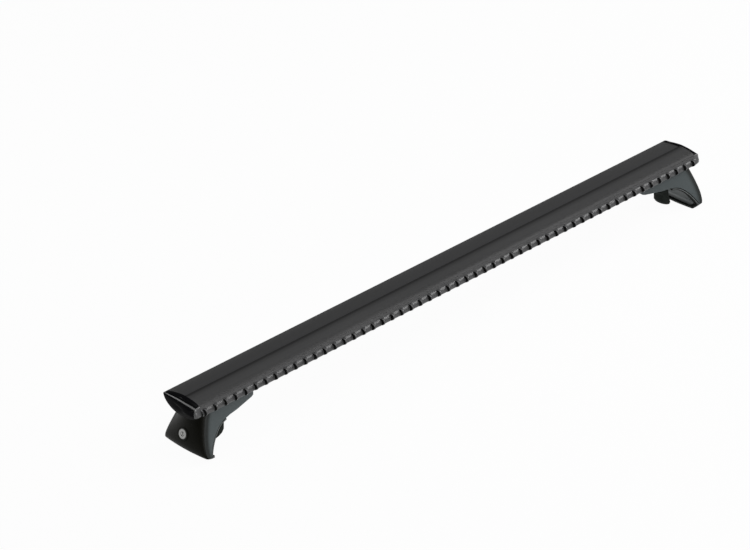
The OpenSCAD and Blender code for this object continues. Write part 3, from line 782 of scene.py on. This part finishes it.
strip = grown(
    strip_body, teeth_tree(), "strip",
    Tooth=tooth, Number=TEETH, Pitch=PITCH * MM, Finish=strip_rubber)
bpy.data.objects.remove(strip_body)
bpy.data.objects.remove(tooth)
# The straight flanks of the teeth, facing -X away from the lamps, get the black finish as painted
# shade.
strip.data.materials.append(matt_black_and_flank_shade)
for face in strip.data.polygons:
    if face.normal.x < FLANK_LEAN and face.center.y < FLANK_BEFORE:
        face.material_index = 1
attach(strip, "bar")
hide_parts("wind_strip")
print("strip faces:", len(strip.data.polygons))

# %% [markdown]
# ## Pads in the arches
#
# The arch of each foot and the lip of its hook are lined with rubber. The pad has to fit between
# the foot's sides, which flare towards the ground and lean in at the corner, so the foot's width is
# needed first. Heights count from the foot's corner, and what lies below zero is the hook.

# %% The foot's width
FOOT_LEN = 121
FOOT_HEIGHT = 63
INNER_HALF = 20
TOP_HALF = 27.5
FLARE = 21
FLARE_CURVE = 1.15
HOOK_TAPER = 6.5
HOOK_CURVE = 1.3
HOOK_LEAN = 12
TOE_HEIGHT = 4
TOE_LEAN = 0.5


def below(z):
    return max(0, -z) / HOOK_DROP


def corner_x(z):
    lean = CORNER_LEAN * max(0, (z - LEAN_FROM) / LEAN_HEIGHT) ** LEAN_CURVE
    return -lean - TOE_LEAN * max(0, TOE_HEIGHT - max(0, z)) - HOOK_LEAN * below(z)


def half_width(x, z):
    flare = FLARE * max(0, 1 - max(0, z) / FOOT_HEIGHT) ** FLARE_CURVE
    outer = TOP_HALF + flare - HOOK_TAPER * below(z) ** HOOK_CURVE
    return INNER_HALF + (outer - INNER_HALF) * (x + FOOT_LEN) / (corner_x(z) + FOOT_LEN)


print("half width at the top:", half_width(corner_x(FOOT_HEIGHT), FOOT_HEIGHT))
print("half width at the toe:", half_width(corner_x(0), 0))

# %% [markdown]
# Seen from the side, the pad lies between two lines: its seat on the shell, and its open side
# towards the rail. Both run down the arch, round the heel and along the lip of the hook.

# %% The line of the arch
PAD_THICK = 4.3
LIP_SEAT = -4.4
LIP_OPEN = -1.6


def beside(line, depth):
    moved = []
    for i, (x, z) in enumerate(line):
        before, after = line[max(i - 1, 0)], line[min(i + 1, len(line) - 1)]
        dx, dz = after[0] - before[0], after[1] - before[1]
        size = math.hypot(dx, dz)
        moved.append((x - depth * dz / size, z + depth * dx / size))
    return moved


arch = cubic((-56.5, 39.8), (-40, 39.2), (-23, 24), (-11, 3.5), 26)
seat = arch + cubic(arch[-1], (-9.1, 0.3), (-10.5, LIP_SEAT), (-17, LIP_SEAT), 8)[1:]
seat += [(-19.5, LIP_SEAT), (-22.3, LIP_SEAT)]
open_side = beside(arch, -PAD_THICK)
heel = open_side[-1]
open_side += cubic(heel, (heel[0] + 0.6, heel[1] - 1.3), (-15, -1.5), (-17.5, LIP_OPEN), 8)[1:]
open_side += [(-20, LIP_OPEN), (-22, LIP_OPEN)]
print("stations:", len(seat), len(open_side), "heel", heel)

# %% [markdown]
# Each station runs down one side of the pad, across its open face and up the other side. Its points
# are pairs: the distance inwards from the foot's side, and the depth below the open face. On each
# side a pale bead stands out between two dark lines, which are painted shade in the grooves beside
# it, and the field in the middle is pale too. The pale grey is the pad's own colour, set paler still
# as painted light for the shaded arch. At the lip, where the pad is thin, the depths shrink with it.

# %% One station of a pad
RIM = [
    (0.6, 3.4), (0.6, 3.0), (0.15, 2.6), (0.15, 1.7), (0.6, 1.2), (0.6, 0.5),  # down the side
    (1.1, 0), (2.6, 0), (3.4, 0.9),  # over the edge
]
FIELD = [(9, 0.9), (24, 0.9)]
BEAD_BAND = 3
FIELD_BAND = 1 + len(RIM)
FULL_DEPTH = 3.5
SIDE_GAP = 0.6
LIP_BEND = 4.2
WIDEST_HALF = 48.5
LEAST_HALF = 0.5


def bent(x, y, lip):
    return x + lip * LIP_BEND * (y / WIDEST_HALF) ** 2


def pad_station(side, base, top, lip):
    scale = 1 / max(math.dist(base, top), FULL_DEPTH)
    station = []
    for way in (-1, 1):
        y = way * (half_width(*base) - SIDE_GAP)
        line = [(bent(base[0], y, lip), y, base[1])]
        for inwards, depth in RIM + FIELD:
            x, z = (t + depth * scale * (b - t) for b, t in zip(base, top))
            y = way * max(LEAST_HALF, half_width(x, z) - inwards)
            line.append((bent(x, y, lip), y, z))
        station += line if way < 0 else line[::-1]
    return [(side * (FOOT_X + x), y, HOOK_DROP + z) for x, y, z in station]


print("points in a station:", len(pad_station(1, seat[0], open_side[0], 0)))

# %% [markdown]
# The lip follows the bowed end of the hook, so its last stations bend with it, step by step.

# %% Two pads
LIP_STATIONS = 3

for side, word in ((-1, "left"), (1, "right")):
    lips = [max(0, k + 1 + LIP_STATIONS - len(seat)) / LIP_STATIONS for k in range(len(seat))]
    stations = [pad_station(side, base, top, lip) for base, top, lip in zip(seat, open_side, lips)]
    pad = finish_piece("pad_" + word, [skin(stations)], [pad_rubber, pad_pale_and_painted_light], corner=40)
    count = len(stations[0])
    # Bead and field take the pale grey with its painted light; the grooves beside the bead stay dark
    # as painted shade.
    pale = {BEAD_BAND, count - 2 - BEAD_BAND} | set(range(FIELD_BAND, count - 1 - FIELD_BAND))
    for face in pad.data.polygons[ENDS:]:
        face.material_index = int((face.index - ENDS) % count in pale)
    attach(pad, "foot_" + word)
    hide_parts("arch_pad_" + word)

# %% [markdown]
# ## Studio
#
# The floor is a wide sheet of grey paper. The camera, and gloss that mirrors the floor, see it as
# almost pure white, while the lamps still draw a soft shadow on it. The white comes from a mix with
# a plain emission of strength 1, and not from more light, so it leaves the bar's own tones alone.

# %% Floor
FLOOR_REACH = 120
FLOOR_GLOW = 0.96
scene = bpy.context.scene
scene.view_settings.view_transform = "Standard"

floor_mesh = bpy.data.meshes.new("floor")
corners = [(FLOOR_REACH * x, FLOOR_REACH * y, 0) for x, y in ((-1, -1), (1, -1), (1, 1), (-1, 1))]
floor_mesh.from_pydata(corners, [], [(0, 1, 2, 3)])
floor = bpy.data.objects.new("floor", floor_mesh)
scene.collection.objects.link(floor)

paper, shader, place = start_finish("paper", Roughness=0.9, Specular_IOR_Level=0.2)
wire(shader, Base_Color=tint(place, grain(place, scale=3), (0.50, 0.50, 0.50), (0.52, 0.52, 0.52)))
tree = paper.node_tree
path = tree.nodes.new("ShaderNodeLightPath")
seen = Signal(tree, path.outputs["Is Camera Ray"]) + Signal(tree, path.outputs["Is Glossy Ray"])
seen = seen + Signal(tree, path.outputs["Is Transmission Ray"])
glow = tree.nodes.new("ShaderNodeEmission")
pick = tree.nodes.new("ShaderNodeMixShader")
tree.links.new((seen * FLOOR_GLOW).socket, pick.inputs["Fac"])
tree.links.new(shader.outputs[0], pick.inputs[1])
tree.links.new(glow.outputs[0], pick.inputs[2])
tree.links.new(pick.outputs[0], tree.nodes["Material Output"].inputs["Surface"])
floor_mesh.materials.append(paper)
print("floor reaches", FLOOR_REACH, "m each way")

# %% [markdown]
# A weak white world fills the shadows. Large soft lamps stand at the front and above, because the
# satin nose and crown show wide, soft highlights. A small one behind the near end lights the cap's
# edge, where a painted highlight adds to the bright line, and another, low down, lights the inside
# of the far arch.

# %% World and lamps
WORLD_STRENGTH = 0.1
SOFTBOXES = (
    # name, place, what it aims at, width and height, watts
    ("nose", (1.8, -1.1, 2.0), (0, 0, 0.05), (2.4, 1.4), 78),
    ("front", (-1.5, -3.2, 0.9), (-0.3, 0, 0.05), (1.8, 0.7), 80),
    ("top", (0.3, 0.4, 2.6), (0, 0, 0.05), (2.4, 1.0), 24),
    ("edge", (-1.6, 1.9, 1.9), (-0.5, 0, 0.05), (0.5, 0.25), 12),
    ("arch", (-1.2, 1.7, 0.15), (0.5, 0, 0.05), (0.6, 0.2), 24),
)


def softbox(name, place, target, size, power):
    lamp = bpy.data.lights.new(name, "AREA")
    lamp.shape, lamp.size, lamp.size_y, lamp.energy = "RECTANGLE", size[0], size[1], power
    holder = bpy.data.objects.new(name, lamp)
    holder.location = place
    aim = [t - p for t, p in zip(target, place)]
    turn = math.atan2(aim[0], -aim[1])
    drop = math.atan2(-aim[2], math.hypot(aim[0], aim[1]))
    holder.rotation_euler = (math.radians(90) - drop, 0, turn + math.pi)
    scene.collection.objects.link(holder)


world = bpy.data.worlds.new("studio")
scene.world = world
world.use_nodes = True
background = world.node_tree.nodes["Background"]
background.inputs["Color"].default_value = (1, 1, 1, 1)
background.inputs["Strength"].default_value = WORLD_STRENGTH
for lamp_sizes in SOFTBOXES:
    softbox(*lamp_sizes)
print("lamps:", len(SOFTBOXES))
